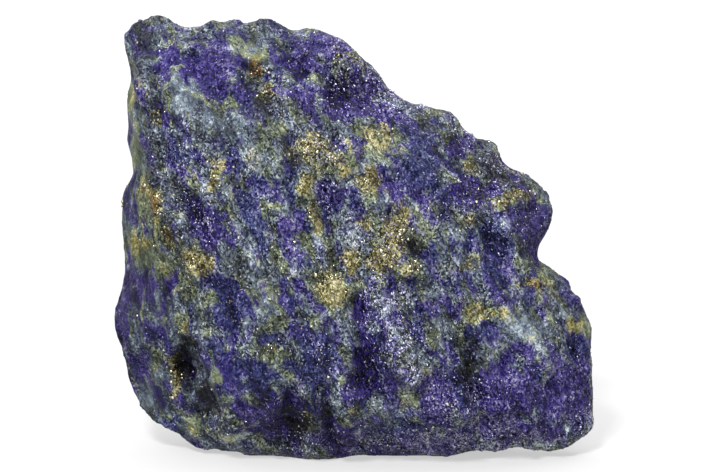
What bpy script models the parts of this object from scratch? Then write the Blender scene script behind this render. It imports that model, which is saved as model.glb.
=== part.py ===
# A rough lump of lapis lazuli, broken on every side and standing on a small flat spot.
# It is one natural piece, so it is one solid. The front looks towards -Y, +Z is up, and
# the origin is under the middle of the stone, at the level it stands on.

import math

import bmesh
import bpy
import numpy as np
from mathutils import Vector, noise

MILLIMETRE = 0.001

# Driving sizes, in millimetres.
FRONT_DEPTH = 15.5       # from the rim to the plain part of the front
BACK_DEPTH = 17.0        # from the rim to the plain part of the back
LEAST_DEPTH = 1.5        # from the rim to the deepest hollow
HALF_WIDTH = 32.0        # from the middle to the rim, about
CENTRE = (-1.5, 30.0)    # x and z of the middle of the lump
LEAN = 0.13              # how far it leans back for each unit of height
FRONT_CORNER = 3.4       # exponents of the rounded section: 2 is an ellipse, more is boxier
BACK_CORNER = 3.8
RIM_WANDER = 2.2         # how far the rim strays to the front and back
RIM_WAVE = 11.0          # and over what length
NEAR_RIM = 0.88          # from here to the rim, on the way from the middle, chips fade out
KNOB_BLUR = 2.4          # the outline's small knobs fade into an outline smoothed this much
KNOB_WAYS = (0.82, 0.94) # where they begin and are whole, on the way from middle to rim
KNOB_REST = 0.4          # share of them that runs on over the sides

# How many strips the surface has across, upwards, and from front to back.
STRIPS_ACROSS = 40
STRIPS_UP = 38
STRIPS_DEEP = 10
BOX_SIZE = 2.0           # of the box that is divided, so that it reaches from -1 to 1
TURN_SHARE = 0.2         # part of the way from the middle to the rim that is the turn
FACE_ON = 0.999          # past this, a point of the box is on its front or back

# The outline as seen from the front, x and z in millimetres, clockwise in four edges.
TOP_EDGE = [
    (-32.4, 61.3), (-30.8, 62.2), (-29.5, 62.8), (-28.3, 63.2), (-27.3, 62.8), (-26.4, 62.1),
    (-25.2, 61.5), (-22.9, 61.6), (-21.3, 61.9), (-19.9, 62.3), (-18.6, 61.9), (-17.1, 61.4),
    (-15.1, 61.8), (-13.3, 62.2), (-11.7, 62.2), (-10.4, 61.6), (-8.9, 60.7), (-7.3, 61.1),
    (-5.2, 61.0), (-3.4, 60.2), (-2.0, 59.8), (-0.7, 58.8), (0.6, 57.5), (1.7, 56.4),
    (2.9, 55.5), (3.9, 53.9), (5.3, 52.1), (6.8, 50.8), (8.8, 50.2), (10.7, 49.9),
    (11.7, 49.4), (13.5, 49.0), (14.8, 47.9),
]
RIGHT_EDGE = [
    (16.6, 45.7), (17.7, 45.0), (19.8, 44.6), (20.8, 43.2), (21.5, 41.6), (22.7, 40.7),
    (24.8, 40.0), (26.7, 39.0), (28.2, 37.1), (28.6, 35.2), (28.7, 33.4), (27.9, 31.6),
    (26.7, 29.9), (26.4, 28.5), (27.2, 27.1), (28.9, 26.3), (30.3, 25.2), (31.4, 23.9),
    (32.6, 22.5), (33.6, 20.4), (34.6, 18.7), (34.6, 16.7), (34.4, 14.9), (34.9, 13.1),
    (34.7, 11.2), (35.0, 8.9), (35.1, 6.3),
]
BOTTOM_EDGE = [
    (34.6, 3.7), (33.2, 2.4), (31.3, 1.4), (28.9, 0.8), (26.4, 0.4), (23.5, 0.8),
    (20.9, 0.5), (18.4, 0.9), (15.8, 0.7), (13.3, -0.3), (10.4, -1.2), (6.0, -1.4),
    (2.7, -1.0), (0.7, -0.6), (-1.5, -3.0), (-4.1, -2.2), (-7.8, -0.3), (-12.1, -0.7),
    (-15.8, -0.5), (-19.1, 0.0), (-21.8, 0.5), (-23.9, 1.0), (-24.9, 2.0), (-26.3, 3.3),
    (-28.2, 4.2),
]
LEFT_EDGE = [
    (-30.0, 5.7), (-31.6, 7.3), (-32.6, 9.6), (-33.1, 11.9), (-33.3, 14.1), (-34.3, 16.4),
    (-35.0, 19.1), (-34.5, 21.6), (-33.8, 23.8), (-33.5, 25.5), (-33.6, 27.7), (-33.7, 30.0),
    (-33.9, 32.6), (-33.8, 35.5), (-33.4, 37.8), (-32.6, 39.4), (-32.0, 40.9), (-32.4, 42.7),
    (-33.1, 45.0), (-32.8, 46.7), (-32.7, 48.7), (-33.1, 50.9), (-32.7, 52.6), (-32.4, 54.4),
    (-33.0, 56.5), (-33.2, 58.6), (-33.2, 60.2),
]
EDGES = [TOP_EDGE, RIGHT_EDGE, BOTTOM_EDGE, LEFT_EDGE]

# Broken faces: x and z of a point on each, how far it is set back from the front's or
# back's depth there, then its slope across and upwards. The surface follows whichever
# face is lowest at each place, with soft ridges between them.
FRONT_FACES = [
    (0.0, 30.0, 0.0, -0.02, -0.05),       # the plain middle
    (-28.6, 45.0, 1.0, 2.6, 0.0),         # upper left flank, nearly side on
    (-22.0, 20.0, 2.0, 0.8, 0.4),         # lower left flank
    (0.0, 56.0, 2.0, 0.1, -0.75),         # roll over the top
    (9.0, 46.0, 2.0, -0.35, -0.55),       # roll over the slanting edge
    (0.0, 6.0, 2.5, 0.0, 1.0),            # turned under towards the foot
    (26.0, 14.0, 2.0, -0.35, 0.02),       # lower right shoulder
]
BACK_FACES = [
    (-6.0, 28.0, 0.0, 0.14, -0.04),       # the plain middle
    (16.0, 30.0, 2.5, -0.55, 0.2),        # towards the knob
    (20.0, 10.0, 3.5, -0.3, -0.25),       # lower right
    (-8.0, 50.0, 3.0, 0.25, -0.7),        # roll over the top
    (6.0, 48.0, 4.5, -0.5, -0.35),        # roll over the slanting edge
    (-24.0, 36.0, 3.0, 0.75, -0.2),       # upper left
    (-24.0, 14.0, 4.0, 0.4, 0.5),         # lower left
    (4.0, 6.0, 2.0, -0.1, 0.45),          # turned under towards the foot
]
RIDGE_SHARPNESS = 1.1    # per millimetre

# Swellings and hollows: x, z, half width, half height, turn in degrees, height.
FRONT_SWELLS = [
    (7.0, 18.0, 3.6, 6.0, -25, 1.4),       # boss that catches the light
    (-4.9, 25.0, 3.0, 2.4, 0, 1.0),
    (-4.9, 44.0, 3.4, 2.6, -30, 1.0),
    (2.6, 45.5, 3.2, 2.0, 0, 0.7),
    (6.0, 32.3, 3.0, 4.2, 0, 0.9),
    (-25.2, 52.0, 2.8, 4.5, -25, 0.8),
    (25.7, 17.5, 4.2, 3.2, -20, 1.1),
    (-6.7, 34.0, 1.4, 6.0, 8, 0.7),
    (-20.9, 11.8, 1.3, 5.0, -35, 1.0),
    (12.6, 30.0, 3.0, 2.2, 0, 0.7),
    (21.5, 9.6, 3.2, 3.2, 0, 1.0),
    (-13.5, 12.0, 3.2, 3.6, 0, 0.7),
    (9.0, 4.0, 4.0, 2.2, 0, 0.8),
    (-24.4, 13.1, 1.7, 3.6, 0, -4.2),      # dark pit low on the left
    (-21.6, 7.9, 1.9, 2.4, 0, -2.4),
    (-8.2, 5.5, 4.2, 4.6, -20, -2.4),
    (-2.7, 1.2, 2.4, 1.6, 0, -1.0),
    (0.5, 52.5, 3.8, 3.0, 10, -2.0),
    (-7.8, 58.0, 3.0, 2.0, 0, -0.9),
    (-13.8, 54.6, 1.9, 3.8, 25, -1.1),
    (-28.9, 50.0, 1.4, 4.0, 0, -0.6),
    (18.4, 39.6, 4.6, 3.0, 0, -1.2),
    (25.4, 35.0, 3.0, 6.0, 0, -4.2),       # the knob on the right lies further back
    (21.0, 32.4, 1.8, 2.0, 0, -1.5),
    (18.0, 11.2, 1.8, 4.6, -12, -2.0),
    (24.0, 3.6, 6.0, 1.8, 0, -1.5),
    (2.4, 15.0, 1.7, 5.0, -12, -1.3),
    (-5.0, 13.0, 3.0, 2.8, 0, -0.8),
    (-21.6, 33.8, 1.9, 4.0, 0, -0.8),
    (-9.2, 19.0, 2.0, 2.6, 0, -0.7),
]
BACK_SWELLS = [
    (-14.0, 40.0, 6.0, 4.0, 30, 1.6),
    (8.0, 20.0, 5.0, 7.0, -20, 1.4),
    (-18.0, 14.0, 5.0, 5.0, 0, -1.8),
    (4.0, 38.0, 4.0, 7.0, 25, -1.8),
    (22.0, 12.0, 4.0, 5.0, 0, -1.4),
    (-4.0, 6.0, 7.0, 3.0, 0, 1.2),
    (-10.0, 27.0, 3.0, 6.0, -35, -1.2),
]

# Chips and broken grain of the whole surface, in millimetres.
CHIP_SIZE = 8.5
FRONT_CHIP_TILT = 0.2    # rise across a chip for each unit of its width
BACK_CHIP_TILT = 0.36
CHIP_BORDER = 0.22       # softness of the ridges between chips, as a share of a chip
CHIP_SCATTER = 3.7       # gives chips that lie side by side unlike tilts
FACING_SIDE = 0.7        # where the normal turns from front to back, -1 to 1
GRAIN_SIZE = 4.4
GRAIN_RISE = 0.5
GRAIN_LAYERS = (0.9, 2.1, 2)           # fade of each finer layer, its fineness, and how many
GRAIN_SEED = Vector((13.7, 4.1, 27.9))
TILT_SEED = 12

CURVE_STEPS = 12         # points on the smooth outline for each of its own points
SECTION_STEPS = 200
SNAP = 0.15              # points this near the ground are put on it
CUT_WIDTH = 0.0001       # and the foot is cut this exactly

STONE_COLOUR = (0.085, 0.085, 0.155, 1.0)
STONE_ROUGHNESS = 0.62


def clear_scene():
    for obj in list(bpy.data.objects):
        bpy.data.objects.remove(obj, do_unlink=True)


def outline_curve():
    """A dense closed curve through the outline's points."""
    points = np.array([point for edge in EDGES for point in edge])
    before, after = np.roll(points, 1, axis=0), np.roll(points, -1, axis=0)
    beyond = np.roll(points, -2, axis=0)
    t = np.linspace(0, 1, CURVE_STEPS, endpoint=False)[:, None, None]
    curve = 0.5 * (
        2 * points
        + (after - before) * t
        + (2 * before - 5 * points + 4 * after - beyond) * t**2
        + (3 * points - before - 3 * after + beyond) * t**3
    )
    return curve.transpose(1, 0, 2).reshape(-1, 2)


def blurred(curve, reach):
    """The closed curve with detail smaller than reach smoothed away."""
    spacing = np.hypot(*(curve - np.roll(curve, 1, axis=0)).T).mean()
    for _ in range(round(2 * (reach / spacing) ** 2)):
        curve = (np.roll(curve, 1, axis=0) + 2 * curve + np.roll(curve, -1, axis=0)) / 4
    return curve


class Edge:
    """A stretch of the outline, read by the share of its length, knobbly or smooth."""

    def __init__(self, knobbly, smooth):
        self.knobbly = knobbly
        self.smooth = smooth
        steps = np.hypot(*np.diff(knobbly, axis=0).T)
        self.share = np.concatenate([[0], np.cumsum(steps)]) / steps.sum()

    def at(self, share, knobs):
        curve = self.smooth + (self.knobbly - self.smooth) * knobs
        return np.array([np.interp(share, self.share, curve[:, i]) for i in (0, 1)])


def outline_edges():
    knobbly = outline_curve()
    smooth = blurred(knobbly, KNOB_BLUR)
    knobbly = np.vstack([knobbly, knobbly[:1]])
    smooth = np.vstack([smooth, smooth[:1]])
    starts = np.cumsum([0] + [len(edge) * CURVE_STEPS for edge in EDGES])
    return [Edge(knobbly[a : b + 1], smooth[a : b + 1]) for a, b in zip(starts, starts[1:])]


def rim_point(edges, across, up, knobs):
    """The point of the outline for a point on the border of the square, -1 to 1 each way."""
    if up >= abs(across):
        return edges[0].at((across + 1) / 2, knobs)
    if across >= abs(up):
        return edges[1].at((1 - up) / 2, knobs)
    if -up >= abs(across):
        return edges[2].at((1 - across) / 2, knobs)
    return edges[3].at((up + 1) / 2, knobs)


def eased(value, low, high):
    """0 below low, 1 above high and a soft step between."""
    share = max(0.0, min(1.0, (value - low) / (high - low)))
    return share * share * (3 - 2 * share)


def section(corner, depth):
    """Reach from the middle and depth along a rounded section, for equal steps along it."""
    turn = np.linspace(0, math.pi / 2, SECTION_STEPS)
    reach = np.sin(turn) ** (2 / corner)
    rise = np.cos(turn) ** (2 / corner)
    length = np.hypot(np.diff(reach) * HALF_WIDTH, np.diff(rise) * depth)
    share = np.concatenate([[0], np.cumsum(length)]) / length.sum()
    return lambda way: (np.interp(way, share, reach), np.interp(way, share, rise))


def lowest_face(faces, depth, x, z):
    """Depth of the lowest broken face at a point, with soft ridges."""
    depths = [depth - back + sx * (x - fx) + sz * (z - fz) for fx, fz, back, sx, sz in faces]
    least = min(depths)
    total = sum(math.exp(-RIDGE_SHARPNESS * (d - least)) for d in depths)
    return least - math.log(total) / RIDGE_SHARPNESS


def swell(swells, x, z):
    height = 0.0
    for sx, sz, half_width, half_height, turn, rise in swells:
        angle = math.radians(turn)
        dx, dz = x - sx, z - sz
        across = (dx * math.cos(angle) + dz * math.sin(angle)) / half_width
        up = (dz * math.cos(angle) - dx * math.sin(angle)) / half_height
        height += rise * math.exp(-(across**2 + up**2))
    return height


def divided_box():
    """A box of -1 to 1 each way whose faces are divided into even strips."""
    bm = bmesh.new()
    bmesh.ops.create_cube(bm, size=BOX_SIZE)
    for axis, strips in ((0, STRIPS_ACROSS), (2, STRIPS_UP), (1, STRIPS_DEEP)):
        along = [
            edge
            for edge in bm.edges
            if abs(edge.verts[0].co[axis] - edge.verts[1].co[axis]) > BOX_SIZE / 2
        ]
        bmesh.ops.subdivide_edges(bm, edges=along, cuts=strips - 1, use_grid_fill=True)
    return bm


def shape_lump(bm):
    """Moves each point of the box to its place on the lump, in millimetres.

    Returns how near each point is to the rim, 1 on it and 0 away from it.
    """
    edges = outline_edges()
    front_section = section(FRONT_CORNER, FRONT_DEPTH)
    back_section = section(BACK_CORNER, BACK_DEPTH)
    nearness = {}
    for vert in bm.verts:
        across, deep, up = vert.co
        ring = max(abs(across), abs(up))
        on_face = abs(deep) > FACE_ON
        way = ring * (1 - TURN_SHARE) if on_face else 1 - abs(deep) * TURN_SHARE
        front = deep < 0
        reach, rise = (front_section if front else back_section)(way)
        if ring > 0:
            knobs = KNOB_REST + (1 - KNOB_REST) * eased(way, *KNOB_WAYS)
            rim = rim_point(edges, across / ring, up / ring, knobs)
        else:
            rim = np.array(CENTRE)
        x, z = np.array(CENTRE) + reach * (rim - CENTRE)
        if front:
            depth = lowest_face(FRONT_FACES, FRONT_DEPTH, x, z) + swell(FRONT_SWELLS, x, z)
            deep = -max(depth, LEAST_DEPTH) * rise
        else:
            depth = lowest_face(BACK_FACES, BACK_DEPTH, x, z) + swell(BACK_SWELLS, x, z)
            deep = max(depth, LEAST_DEPTH) * rise
        wander = noise.noise(Vector((rim[0], 0.0, rim[1])) / RIM_WAVE) * RIM_WANDER * reach**2
        vert.co = (x, deep + wander + LEAN * z, z)
        nearness[vert] = eased(way, NEAR_RIM, 1.0)
    return nearness


def chip_height(place, steepness):
    """Height of a surface broken into tilted chips, at a place in millimetres."""
    distances, centres = noise.voronoi(place / CHIP_SIZE)
    heights = []
    for centre in centres[:2]:
        tilt = noise.noise_vector(centre * CHIP_SCATTER) * steepness
        heights.append((place - centre * CHIP_SIZE).dot(tilt))
    own = 0.5 + 0.5 * eased(distances[1] - distances[0], 0.0, CHIP_BORDER)
    return heights[0] * own + heights[1] * (1 - own)


def break_surface(bm, nearness):
    """Chips and uneven grain, which leave the outline as it is."""
    noise.seed_set(TILT_SEED)
    bm.normal_update()
    moves = {}
    for vert in bm.verts:
        place = vert.co + GRAIN_SEED
        backward = eased(vert.normal.y, -FACING_SIDE, FACING_SIDE)
        steepness = FRONT_CHIP_TILT + (BACK_CHIP_TILT - FRONT_CHIP_TILT) * backward
        height = chip_height(place, steepness)
        height += GRAIN_RISE * noise.fractal(place / GRAIN_SIZE, *GRAIN_LAYERS)
        move = vert.normal * height
        keep = 1 - nearness[vert]
        moves[vert] = Vector((move.x * keep, move.y, move.z * keep))
    for vert, move in moves.items():
        vert.co += move


def cut_foot(bm):
    """The flat spot that the stone stands on, at z = 0."""
    for vert in bm.verts:
        if abs(vert.co.z) < SNAP:
            vert.co.z = 0.0
    everything = bm.verts[:] + bm.edges[:] + bm.faces[:]
    bmesh.ops.bisect_plane(
        bm, geom=everything, dist=CUT_WIDTH, plane_co=(0, 0, 0), plane_no=(0, 0, 1), clear_inner=True
    )
    open_edges = [edge for edge in bm.edges if edge.is_boundary]
    bmesh.ops.contextual_create(bm, geom=open_edges)


def centre_on_foot(bm):
    """Puts the middle of the stone's width and depth over the origin."""
    places = np.array([vert.co for vert in bm.verts])
    middle = (places.min(axis=0) + places.max(axis=0)) / 2
    bmesh.ops.translate(bm, verts=bm.verts, vec=(-middle[0], -middle[1], 0))


def stone_material():
    material = bpy.data.materials.new("lapis lazuli")
    material.use_nodes = True
    shader = material.node_tree.nodes["Principled BSDF"]
    shader.inputs["Base Color"].default_value = STONE_COLOUR
    shader.inputs["Roughness"].default_value = STONE_ROUGHNESS
    shader.inputs["Metallic"].default_value = 0.0
    return material


def make_stone():
    bm = divided_box()
    nearness = shape_lump(bm)
    break_surface(bm, nearness)
    cut_foot(bm)
    centre_on_foot(bm)
    bmesh.ops.triangulate(bm, faces=bm.faces, quad_method="SHORT_EDGE", ngon_method="BEAUTY")
    bmesh.ops.scale(bm, verts=bm.verts, vec=(MILLIMETRE,) * 3)
    bmesh.ops.recalc_face_normals(bm, faces=bm.faces)
    mesh = bpy.data.meshes.new("lazurite_stone")
    bm.to_mesh(mesh)
    bm.free()
    mesh.materials.append(stone_material())
    stone = bpy.data.objects.new("lazurite_stone", mesh)
    bpy.context.scene.collection.objects.link(stone)
    return stone


clear_scene()
make_stone()
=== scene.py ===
# A rough lump of lapis lazuli, standing on a white table in soft studio light.
# The frame gives the stone's solid shape. This script gives it its broken surface, its mottled
# colours and the grains of pyrite and pale mineral that stand in it.
# Lengths are in millimetres until they reach Blender. Places on the front are (u, v) as the camera
# sees them: u to the right of the stone's middle, v up from the table.

import itertools
import math

import bpy
import numpy as np
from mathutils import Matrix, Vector, noise


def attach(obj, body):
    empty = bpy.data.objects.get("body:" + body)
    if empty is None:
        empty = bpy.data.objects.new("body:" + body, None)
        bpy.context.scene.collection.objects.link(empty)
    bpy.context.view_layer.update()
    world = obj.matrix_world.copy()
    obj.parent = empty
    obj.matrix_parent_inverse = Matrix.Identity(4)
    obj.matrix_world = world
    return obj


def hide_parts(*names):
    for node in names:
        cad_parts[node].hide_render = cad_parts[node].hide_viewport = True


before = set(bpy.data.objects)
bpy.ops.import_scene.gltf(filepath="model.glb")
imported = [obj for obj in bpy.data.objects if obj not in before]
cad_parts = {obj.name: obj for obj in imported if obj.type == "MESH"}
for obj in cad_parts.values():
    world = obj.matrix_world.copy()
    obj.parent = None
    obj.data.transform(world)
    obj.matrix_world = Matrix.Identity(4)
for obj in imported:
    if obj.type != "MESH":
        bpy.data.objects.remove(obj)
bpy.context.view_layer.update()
mm = 0.001


def deselectAll():
    for item in bpy.context.selected_objects:
        item.select_set(False)


def selectOnly(item):
    deselectAll()
    item.select_set(True)
    bpy.context.view_layer.objects.active = item


def applyModifier(item, kind, **settings):
    modifier = item.modifiers.new(kind.lower(), kind)
    for name, value in settings.items():
        setattr(modifier, name, value)
    selectOnly(item)
    bpy.ops.object.modifier_apply(modifier=modifier.name)


def eased(value, low, high):  # 0 below low, 1 above high, soft between
    share = np.clip((value - low) / (high - low), 0, 1)
    return share * share * (3 - 2 * share)


def linearColor(hexColor):  # sRGB "#rrggbb" to the linear colour that shaders take
    parts = [int(hexColor[i:i + 2], 16) / 255 for i in (1, 3, 5)]
    return [c / 12.92 if c <= 0.04045 else ((c + 0.055) / 1.055) ** 2.4 for c in parts] + [1]


def setInputs(tree, node, inputs):  # a socket is linked, and anything else is the input's own value
    for name, value in inputs.items():
        if isinstance(value, bpy.types.NodeSocket):
            tree.links.new(value, node.inputs[name])
        else:
            node.inputs[name].default_value = value


def addNode(tree, kind, inputs=None, colors=(), **settings):  # gives its outputs
    node = tree.nodes.new("ShaderNode" + kind)
    for name, value in settings.items():
        setattr(node, name, value)
    setInputs(tree, node, inputs or {})
    for index, color in enumerate(colors):  # a ramp's colours, evenly spaced
        elements = node.color_ramp.elements
        if index >= len(elements):
            elements.new(1)
        elements[index].position = index / (len(colors) - 1)
        elements[index].color = linearColor(color)
    return node.outputs


def newMaterial(name):
    material = bpy.data.materials.new(name)
    material.use_nodes = True
    return material, material.node_tree, material.node_tree.nodes["Principled BSDF"]


# Camera: a long lens a little above the stone, looking down on it slightly.

cameraSet = dict(
    lens=135,
    sensor=36,
    aim=Vector((0, 0, 31.4)),
    elevation=10,  # degrees above level
    distance=386.3,
    nearest=10,  # what it can see, from and to
    furthest=20000,
)


def addAimed(name, data, place, aim):  # a camera or lamp that points at aim
    item = bpy.data.objects.new(name, data)
    item.location = place * mm
    item.rotation_euler = (aim - place).to_track_quat("-Z", "Y").to_euler()
    bpy.context.scene.collection.objects.link(item)
    return item


def cameraBack():  # from what it aims at towards the camera
    angle = math.radians(cameraSet["elevation"])
    return Vector((0, -math.cos(angle), math.sin(angle)))


def makeCamera():
    data = bpy.data.cameras.new("camera")
    data.lens = cameraSet["lens"]
    data.sensor_width = cameraSet["sensor"]
    data.clip_start = cameraSet["nearest"] * mm
    data.clip_end = cameraSet["furthest"] * mm
    aim = cameraSet["aim"]
    place = aim + cameraBack() * cameraSet["distance"]
    bpy.context.scene.camera = addAimed("camera", data, place, aim)


def seenFromFront(points):  # (u, v) of points in millimetres
    back = np.array(cameraBack())
    up = np.array((0, back[2], -back[1]))
    away = np.array(cameraSet["aim"]) + back * cameraSet["distance"] - points
    scale = cameraSet["distance"] / (away @ back)
    return -away[:, 0] * scale, -(away @ up) * scale + cameraSet["aim"].z


# Light: a white room, a soft key light above and in front, slightly from the left.

lightSet = dict(
    room=0.25,  # brightness of the walls as the stone sees them
    lamps=[  # name, place, size, power
        ("key light", (-110, -400, 400), 90, 4.7),
        ("front light", (150, -900, 260), 700, 3.6),
        ("ceiling light", (0, 300, 1500), 2800, 58.0),
        ("back light", (-300, 1100, 500), 700, 4.0),
    ],
    aim=Vector((0, 0, 30)),  # where the lamps point
    floorSize=8000,
    floorGap=0.02,  # under the stone's foot
    floorColor="#f0f0f0",
    floorRoughness=0.9,
    floorGlow=0.495,  # light that comes up through the table
    farGlow=0.66,  # what it gains far out, where the lamps reach less
    farStart=-200,  # distances from the stone between which it gains that
    farEnd=1800,
    floorShare=0.738,  # how much of what the table shows is its own light
)


def addLight(name, place, size, power):
    data = bpy.data.lights.new(name, "AREA")
    data.size = size * mm
    data.energy = power
    addAimed(name, data, Vector(place), lightSet["aim"])


def makeRoom():
    scene = bpy.context.scene
    scene.view_settings.view_transform = "Standard"
    scene.world = bpy.data.worlds.new("white room")
    scene.world.use_nodes = True
    tree = scene.world.node_tree
    seen = addNode(tree, "LightPath")["Is Camera Ray"]
    strength = addNode(tree, "MapRange", {0: seen, 3: lightSet["room"], 4: 1.0})[0]
    setInputs(tree, tree.nodes["Background"], {"Color": (1, 1, 1, 1), "Strength": strength})
    for lamp in lightSet["lamps"]:
        addLight(*lamp)


def makeFloor():
    deselectAll()
    place = (0, 0, -lightSet["floorGap"] * mm)
    bpy.ops.mesh.primitive_plane_add(size=lightSet["floorSize"] * mm, location=place)
    floor = bpy.context.object
    floor.name = "table"
    # Opal acrylic, matt, lit from below, which keeps the shadow light and the table white.
    material, tree, shader = newMaterial("opal acrylic light table")
    color = linearColor(lightSet["floorColor"])
    setInputs(tree, shader, {"Base Color": color, "Roughness": lightSet["floorRoughness"]})
    share = lightSet["floorShare"]
    near = lightSet["floorGlow"] / share
    far = near + lightSet["farGlow"] / share
    place = addNode(tree, "TexCoord")["Object"]
    distance = addNode(tree, "VectorMath", {0: place}, operation="LENGTH")["Value"]
    strength = addNode(
        tree, "MapRange",
        {0: distance, 1: lightSet["farStart"] * mm, 2: lightSet["farEnd"] * mm, 3: near, 4: far},
        interpolation_type="SMOOTHSTEP",
    )[0]
    glow = addNode(tree, "Emission", {"Color": (1, 1, 1, 1), "Strength": strength})[0]
    both = addNode(tree, "MixShader", {0: share, 1: shader.outputs[0], 2: glow})[0]
    setInputs(tree, tree.nodes["Material Output"], {"Surface": both})
    floor.data.materials.append(material)


makeCamera()
makeRoom()
makeFloor()
print("camera, light and floor are in place")


# Stone: the solid's own surface, made fine enough to carry the broken grain.

stoneSet = dict(
    merge=0.01,  # points of the solid's triangles this close are one
    voxel=0.395,  # between points of the fine surface
    softenSteps=10,
    mapAngle=66,  # degrees between faces that share an island of the map
    footLevel=0.15,  # what is lower stays flat on the table
    footBottom=0.1,  # the relief starts at this height and is whole at footTop
    footTop=1.6,
    rimRelief=0.22,  # how much of the relief is left at the outline
    rimFacing=(0.08, 0.5),  # how far the surface faces front or back, from and to
    foldFacing=(0.2, 0.6),  # the same for the folds, on the front only
    wornRelief=0.4,  # how much of the large relief is worn off where it is smooth
    wornChips=0.6,
    calmChips=0.4,
    hollowDepth=(0.2, 1.4),  # hollows count as such between these depths, and get painted shade
    chips=[  # size, steepness of their tilt, softness of their borders
        dict(size=3.2, steep=0.17, border=0.16, seed=3),
        dict(size=1.5, steep=0.24, border=0.16, seed=5),
        dict(size=0.85, steep=0.28, border=0.2, seed=8),
    ],
    banding=(0.36, 0.0, -0.93),  # the way that the rock's banding and its furrows run
    bend=1.5,  # how far the furrows stray
    bendSize=7.0,
    bendSeeds=(31, 32),
    furrowCrest=2.4,  # height of the crests, and of the valleys, in furrow heights
    furrowValley=0.6,
    furrows=[
        dict(width=5.0, length=19.0, height=0.72, seed=21),
        dict(width=2.0, length=6.5, height=0.3, seed=22),
    ],
    folds=[  # u, v of both ends, width, height: ridges, and hollows below 0
        (-29.4, 59, -28.6, 42, 1, -0.9), (-30.4, 52, -29.2, 36, 0.7, 0.5), (-27, 53.5, -20.6, 46.4, 1.7, 1),
        (-26.4, 46.8, -22.6, 40.4, 1.5, -1), (-20.4, 58.6, -18, 54, 3, 0.8),
        (-15.2, 55, -12.4, 50, 1.4, -0.7), (-9.4, 58.4, -4.6, 50.4, 1.2, -0.6),
        (-2.4, 53.6, 3, 50.6, 2.4, -1.2), (-4, 57.6, 0.6, 56, 1.6, 0.6), (-0.4, 49.2, 8, 47.6, 1.4, 0.7),
        (-24, 37, -20.4, 28.6, 1.3, -1.1), (-27.4, 36, -23, 25, 1.2, 0.6), (-19.6, 40, -15, 27, 1, 0.6),
        (-14.2, 46.8, -11, 43.6, 0.9, 0.6), (-9, 46.2, -8.6, 41.6, 0.9, -0.9),
        (-7.8, 40.4, -5, 30, 1.2, 0.9), (-9.4, 36.4, -8.4, 31.6, 1.3, -0.6),
        (-4.8, 38.8, -2.8, 28, 1.2, -1.1), (-6.6, 44.4, -2, 41, 1.8, 0.7), (1.4, 41.6, 4.4, 36, 1, 0.5),
        (3.4, 31, 8, 27, 2, 0.7), (9, 30.4, 9.8, 28.8, 1.1, -1.1), (-4.4, 25.2, -0.6, 23.6, 1.7, 0.8),
        (0.6, 22, 1.8, 10.6, 1.3, -1.5), (3.4, 23, 9, 11.6, 1.4, 1.1), (10, 24, 13.6, 15, 1.5, -0.6),
        (11.6, 31, 14.8, 28.2, 1.3, 0.7), (18.6, 33.4, 20.8, 30, 1.4, -1.3),
        (22, 32.8, 24.2, 25.6, 0.7, 1.2), (25.4, 33, 25, 30, 1.4, -0.6), (16.8, 41, 21.6, 39, 1.8, -0.7),
        (18, 36.2, 26, 36.8, 1.1, 0.6), (16, 15.6, 17.4, 8.4, 1.3, -1), (22, 20, 27.6, 13, 2.2, 0.5),
        (19.4, 9.6, 23.6, 13.6, 1.6, -0.5), (29, 24, 32, 15, 1.3, -0.5), (-24.6, 15, -24.4, 10.8, 2, -1.3),
        (-21.8, 8.6, -21, 6.4, 1.8, -0.9), (-23, 16.6, -17.6, 8, 1.1, 0.9), (-27, 16, -25.8, 8, 0.9, 0.6),
        (-16.2, 24.6, -14.6, 12, 1.3, 0.6), (-18.4, 23.4, -17.8, 17.6, 1.2, -0.8),
        (-9.4, 9, -8.2, 1, 1.4, -1.3), (-6.4, 9, -5.4, 1.4, 0.8, 0.9), (-4.4, 9, -3.4, 1.6, 0.9, -1.1),
        (-12.8, 9.6, -11.6, 3, 1.4, 0.5), (3.4, 8.4, 4, 2, 1.4, 0.7), (7, 9, 7.4, 4.6, 0.9, -0.5),
        (11.6, 11, 12.8, 3.6, 1.6, 0.7), (16, 4.4, 31, 4.2, 0.9, -0.45),
    ],
)
cellPrimes = np.array((73856093, 19349663, 83492791))
seedPrime = 1009
randomTable = np.random.default_rng(41).random((7919, 6))
cloudShift = (17.3, 5.9, 11.1)  # how far each seed's noise lies from the last one's


def cellNumbers(cells, seed):  # the same six random numbers for the same cell
    return randomTable[(cells @ cellPrimes + seed * seedPrime) % len(randomTable)]


def chipHeight(points, size, steep, border, seed):
    # Each chip is a flat face of its own around a scattered point, tilted its own way.
    places = points / size
    home = np.floor(places).astype(int)
    near = np.full((2, len(points)), np.inf)
    height = np.zeros((2, len(points)))
    for step in itertools.product((-1, 0, 1), repeat=3):
        cells = home + step
        numbers = cellNumbers(cells, seed)
        away = places - cells - numbers[:, :3]
        gap = np.linalg.norm(away, axis=1)
        rise = (away * (numbers[:, 3:] - 0.5)).sum(axis=1) * size * steep * 2
        first = gap < near[0]
        second = ~first & (gap < near[1])
        near[1] = np.where(first, near[0], np.where(second, gap, near[1]))
        height[1] = np.where(first, height[0], np.where(second, rise, height[1]))
        near[0] = np.where(first, gap, near[0])
        height[0] = np.where(first, rise, height[0])
    own = 0.5 + 0.5 * eased(near[1] - near[0], 0, border)
    return height[0] * own + height[1] * (1 - own)


def cloud(points, size, seed, octaves=2):  # smooth noise, about -1 to 1
    shift = Vector([seed * part for part in cloudShift])
    return np.array([noise.fractal(Vector(p) / size + shift, 1.0, 2.0, octaves) for p in points])


def meshNumbers(items, name, kind=np.float32):  # three of them for each item, as rows
    flat = np.zeros(len(items) * 3, kind)
    items.foreach_get(name, flat)
    return flat.reshape(-1, 3)


def pointsAndNormals(mesh):  # points in millimetres
    points = meshNumbers(mesh.vertices, "co").astype(float) / mm
    return points, meshNumbers(mesh.vertex_normals, "vector").astype(float)


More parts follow.
